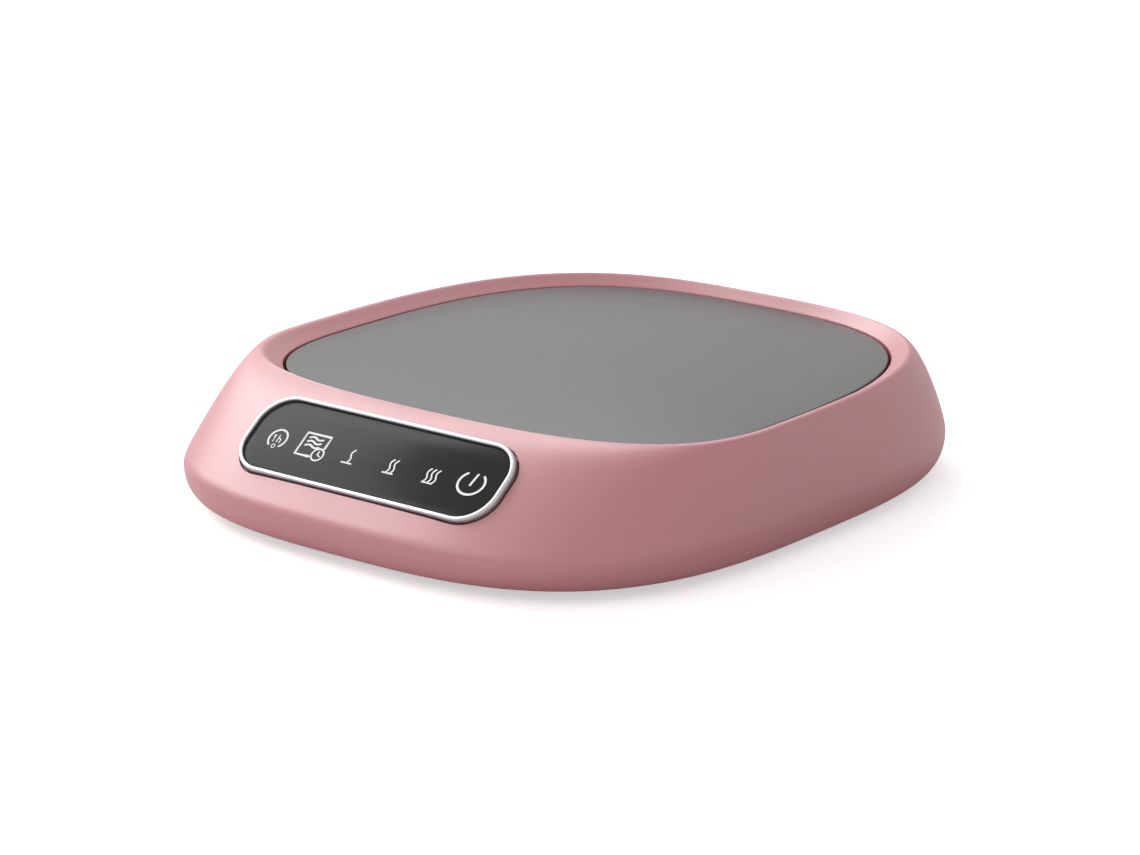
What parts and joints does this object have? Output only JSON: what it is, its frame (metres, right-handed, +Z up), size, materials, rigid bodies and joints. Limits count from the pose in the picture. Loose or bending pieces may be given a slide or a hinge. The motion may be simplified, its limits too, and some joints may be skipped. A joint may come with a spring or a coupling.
{
  "type": "electric mug warmer",
  "caption": "Low squircle mug warmer with a sunken grey glass plate and a sloping touch panel in a bright ring.",
  "frame": {"origin": "centre of the bounding box at the undersides of the feet", "axes": "+Z up, -Y towards the user and the touch panel, +X to the right of someone facing the panel"},
  "size_m": [0.13, 0.146, 0.026],
  "materials": {
    "housing_plastic": "pearl satin rose, moulded",
    "plate_glass": "dark grey toughened glass, satin",
    "black_rubber": "matt",
    "silicone": "matt",
    "aluminium_sheet": "rolled",
    "heater_foil": "etched foil in amber film",
    "glass_fibre": "needled mat",
    "steel_sheet": "zinc plated",
    "screw_steel": "zinc plated",
    "bright_ring": "satin bright",
    "lens_plastic": "smoked, printed",
    "legend_ink": "white print",
    "black_plastic": "moulded",
    "white_plastic": "moulded",
    "circuit_board": "solder mask",
    "red_wire": "silicone sleeve",
    "pale_wire": "sleeve",
    "spring_metal": "gold plated",
    "plated_metal": "nickel plated",
    "capacitor_sleeve": "printed sleeve, bare",
    "ceramic": "glazed"
  },
  "bodies": {
    "root": {"upper_housing": "housing_plastic", "base_cover": "housing_plastic", "feet": "black_rubber", "base_screws": "screw_steel", "warming_plate": "plate_glass", "plate_gasket": "silicone", "heat_spreader": "aluminium_sheet", "heating_element": "heater_foil", "insulation_pad": "glass_fibre", "clamp_plate": "steel_sheet", "clamp_screws": "screw_steel", "temperature_sensor": "black_plastic", "thermal_fuse": "ceramic", "fuse_clip": "steel_sheet", "heater_leads": "red_wire", "fuse_leads": "red_wire", "sensor_leads": "pale_wire", "panel_bezel": "bright_ring", "panel_lens": "lens_plastic", "lens_tape": "black_rubber", "key_legends": "legend_ink", "light_guide": "black_plastic", "touch_springs": "spring_metal", "touch_board": "circuit_board", "indicator_leds": "white_plastic", "touch_board_screws": "screw_steel", "touch_ribbon": "pale_wire", "main_board": "circuit_board", "main_board_screws": "screw_steel", "inlet_jack": "black_plastic", "inlet_pin": "plated_metal", "inlet_contact": "plated_metal", "controller_chip": "black_plastic", "power_transistor": "black_plastic", "filter_capacitors": "capacitor_sleeve", "inductor": "black_plastic", "buzzer": "black_plastic", "board_connectors": "white_plastic"}
  },
  "joints": []
}
